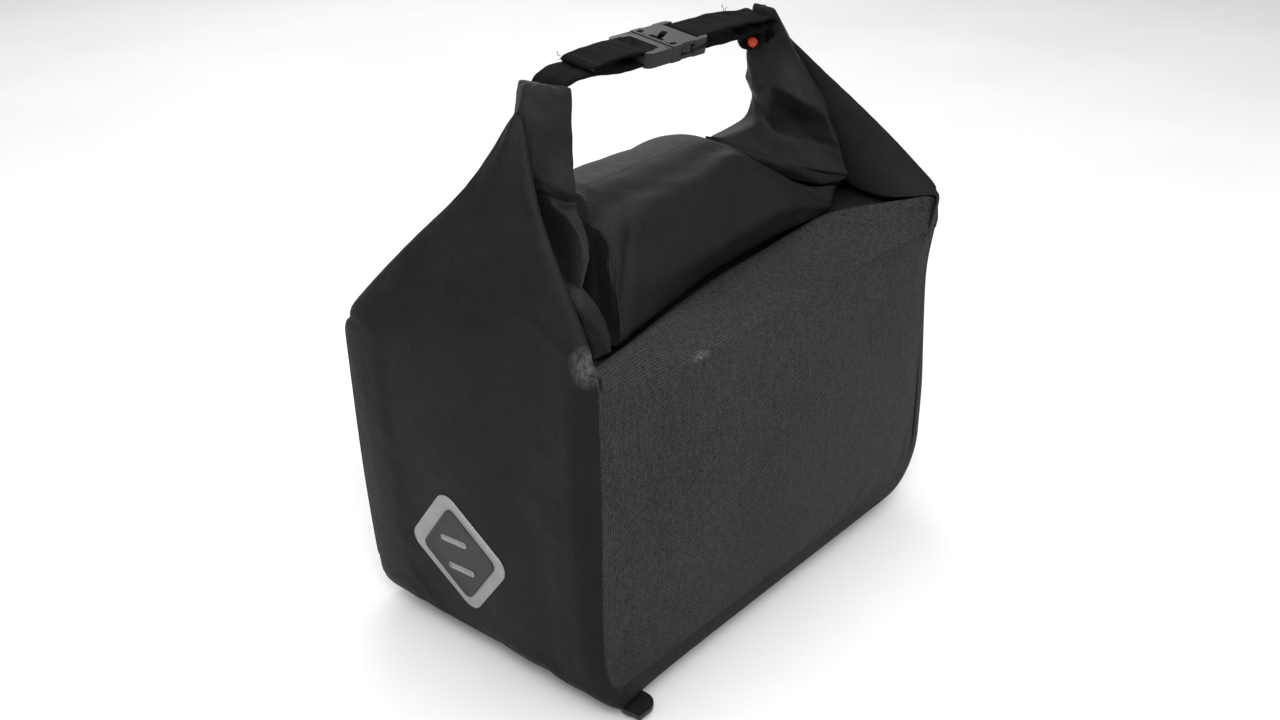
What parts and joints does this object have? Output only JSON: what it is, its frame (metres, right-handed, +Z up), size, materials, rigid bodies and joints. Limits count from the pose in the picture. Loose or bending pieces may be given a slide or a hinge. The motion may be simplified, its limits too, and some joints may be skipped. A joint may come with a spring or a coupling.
{
  "type": "pannier bag",
  "caption": "Roll-top bicycle rack bag whose rolled ends buckle into a carrying handle, with rear light tab and a quick-release rail coupling under its floor.",
  "frame": {"origin": "centre of the coupling plate's underside, where the bag sits on the rack", "axes": "+X along the bag away from the light tab, -Y towards the large woven front panel, +Z up"},
  "size_m": [0.3526, 0.21, 0.3603],
  "materials": {
    "coated_fabric": "matt waterproof coated cloth, smooth, fine rib",
    "woven_fabric": "matt coarse woven coated cloth",
    "webbing": "ribbed polyester webbing",
    "buckle_plastic": "satin moulded acetal",
    "board": "plain polyethylene sheet",
    "orange_rod": "satin orange rod end",
    "reflective": "light grey retroreflective film",
    "clip_rubber": "matt grey moulded rubber",
    "plate_plastic": "fine-grained black nylon",
    "lever_plastic": "satin black nylon",
    "aluminium": "satin extruded aluminium",
    "steel": "plated steel"
  },
  "bodies": {
    "bag": {"front_panel": "woven_fabric", "back_panel": "woven_fabric", "side_gusset": "coated_fabric", "front_stiffener": "board", "back_stiffener": "board", "floor_board": "board", "sleeve_shell": "coated_fabric", "ear_left": "coated_fabric", "ear_right": "coated_fabric", "roll_top": "coated_fabric", "mouth_stiffener": "board", "hem_rod": "orange_rod", "hem_sleeve": "coated_fabric", "webbing_left": "webbing", "webbing_right": "webbing", "buckle_female": "buckle_plastic", "reflective_patch": "reflective", "light_clip_tab": "clip_rubber", "coupling_plate": "plate_plastic", "runner_rail_front": "aluminium", "runner_rail_back": "aluminium", "rail_rivets": "aluminium", "lever_pivot_pin": "steel", "lever_spring": "steel", "plate_screws": "steel", "plate_washers": "steel", "plate_nuts": "steel"},
    "lever": {"release_lever": "lever_plastic"},
    "buckle_plug": {"buckle_male": "buckle_plastic", "webbing_loop": "webbing"},
    "front_prong": {"prong_front": "buckle_plastic"},
    "back_prong": {"prong_back": "buckle_plastic"}
  },
  "joints": [
    {"name": "release_lever_swing", "type": "hinge", "parent": "bag", "child": "lever", "pos_m": [-0.148, -0.046, -0.0041], "axis": [0, 0, -1], "range_deg": [0, 10], "stiffness_Nm_per_rad": 0.05, "springref_deg": -17.19, "deforming": ["lever_spring"]},
    {"name": "buckle_release", "type": "slide", "parent": "bag", "child": "buckle_plug", "axis": [-1, 0, 0], "range_m": [0, 0.01]},
    {"name": "front_prong_squeeze", "type": "hinge", "parent": "buckle_plug", "child": "front_prong", "pos_m": [-0.0225, -0.00792, 0.34089], "axis": [0, -0.1392, 0.9903], "range_deg": [0, 12], "stiffness_Nm_per_rad": 0.01},
    {"name": "back_prong_squeeze", "type": "hinge", "parent": "buckle_plug", "child": "back_prong", "pos_m": [-0.0225, 0.00792, 0.34311], "axis": [0, 0.1392, -0.9903], "range_deg": [0, 12], "stiffness_Nm_per_rad": 0.01}
  ],
  "couplings": [
    {"joint": "front_prong_squeeze", "follows": "buckle_release", "rad_per_m": 20},
    {"joint": "back_prong_squeeze", "follows": "buckle_release", "rad_per_m": 20}
  ]
}
